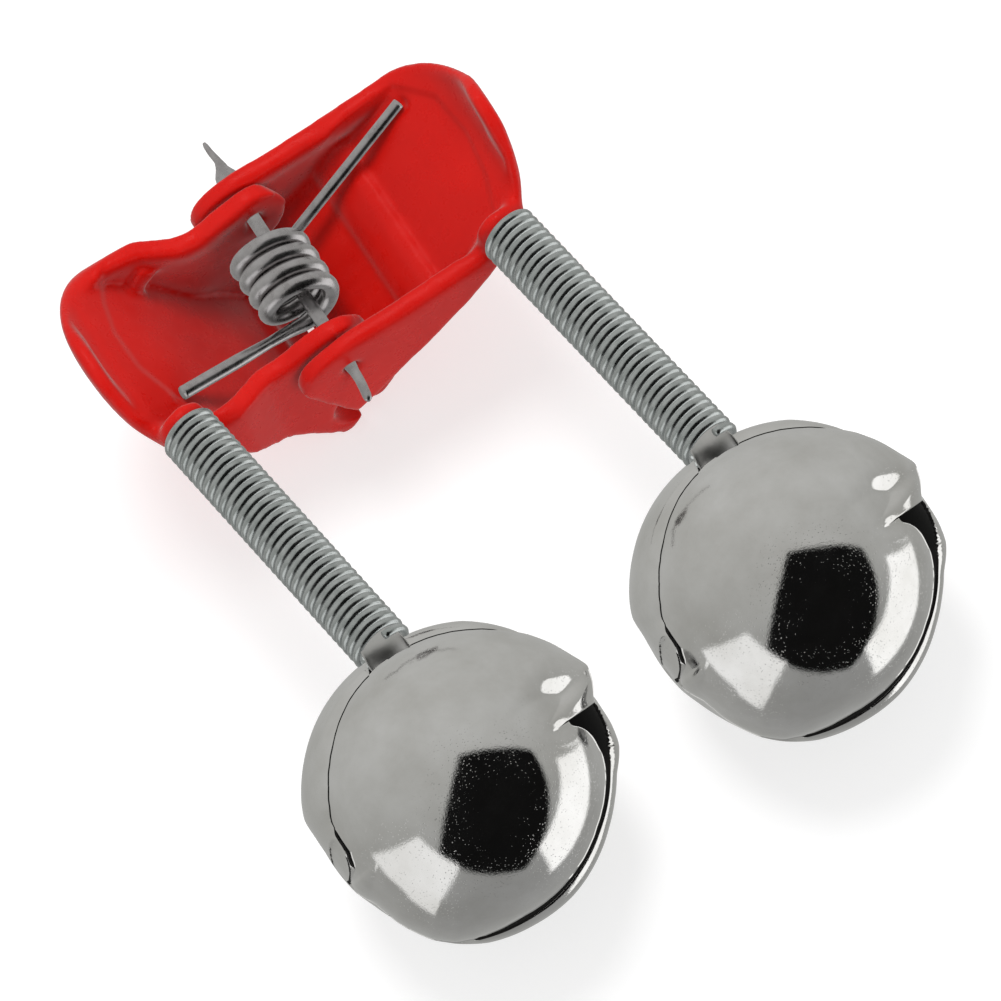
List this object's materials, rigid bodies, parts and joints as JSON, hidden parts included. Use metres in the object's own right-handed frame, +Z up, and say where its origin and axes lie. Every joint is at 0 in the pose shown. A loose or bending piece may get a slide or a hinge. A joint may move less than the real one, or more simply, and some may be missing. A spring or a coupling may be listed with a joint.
{
  "type": "fishing rod bite alarm clip",
  "caption": "Squeeze clip for a fishing rod: two plastic halves hinged on a pin against a torsion spring, each carrying a small bell on a coil spring stem.",
  "frame": {"origin": "middle of the box's footprint, on the surface that the part lies on", "axes": "+Z up from the surface; +X from the inner half to the outer half; the bells lie towards -Y and the pin runs close to Y"},
  "size_m": [0.044, 0.0568, 0.021],
  "materials": {
    "red_plastic": "injection moulded, glossy with satin inner faces",
    "spring_steel": "drawn spring wire, bright",
    "zinc_spring": "zinc plated close-wound wire",
    "nickel": "nickel plated sheet, polished, with small dents",
    "pellet_steel": "plain steel ball"
  },
  "bodies": {
    "outer_half": {"outer_clip_half": "red_plastic", "pivot_pin": "spring_steel", "torsion_spring": "spring_steel"},
    "inner_half": {"inner_clip_half": "red_plastic"},
    "right_stem": {"right_stem_spring": "zinc_spring"},
    "right_bell": {"right_bell_back_shell": "nickel", "right_bell_front_shell": "nickel", "right_bell_hanger": "nickel"},
    "right_pellet": {"right_bell_pellet": "pellet_steel"},
    "left_stem": {"left_stem_spring": "zinc_spring"},
    "left_bell": {"left_bell_back_shell": "nickel", "left_bell_front_shell": "nickel", "left_bell_hanger": "nickel"},
    "left_pellet": {"left_bell_pellet": "pellet_steel"}
  },
  "joints": [
    {"name": "clip_pivot", "type": "hinge", "parent": "outer_half", "child": "inner_half", "pos_m": [-0.00336, 0.01684, 0.01192], "axis": [0, 0.9973, 0.073], "range_deg": [0, 30], "stiffness_Nm_per_rad": 0.184, "springref_deg": -5.73, "deforming": ["torsion_spring"]},
    {"name": "right_stem_flex", "type": "hinge", "parent": "outer_half", "child": "right_stem", "pos_m": [0.01079, -0.00064, 0.01531], "axis": [-0.9895, -0.1446, 0], "range_deg": [-15, 15], "stiffness_Nm_per_rad": 0.02, "deforming": ["right_stem_spring"]},
    {"name": "right_bell_rock", "type": "hinge", "parent": "right_stem", "child": "right_bell", "pos_m": [0.01229, -0.01094, 0.01526], "axis": [-0.0802, -0.4566, 0.886], "range_deg": [-10, 10]},
    {"name": "right_pellet_roll", "type": "hinge", "parent": "right_bell", "child": "right_pellet", "pos_m": [0.012, -0.01891, 0.01], "axis": [0.1446, -0.9895, 0], "range_deg": [-55, 55]},
    {"name": "left_stem_flex", "type": "hinge", "parent": "inner_half", "child": "left_stem", "pos_m": [-0.0131, -0.00062, 0.01508], "axis": [-0.991, -0.134, 0], "range_deg": [-15, 15], "stiffness_Nm_per_rad": 0.02, "deforming": ["left_stem_spring"]},
    {"name": "left_bell_rock", "type": "hinge", "parent": "left_stem", "child": "left_bell", "pos_m": [-0.01171, -0.01094, 0.01526], "axis": [-0.0802, -0.4566, 0.886], "range_deg": [-10, 10]},
    {"name": "left_pellet_roll", "type": "hinge", "parent": "left_bell", "child": "left_pellet", "pos_m": [-0.012, -0.01891, 0.01], "axis": [0.134, -0.991, 0], "range_deg": [-55, 55]}
  ]
}
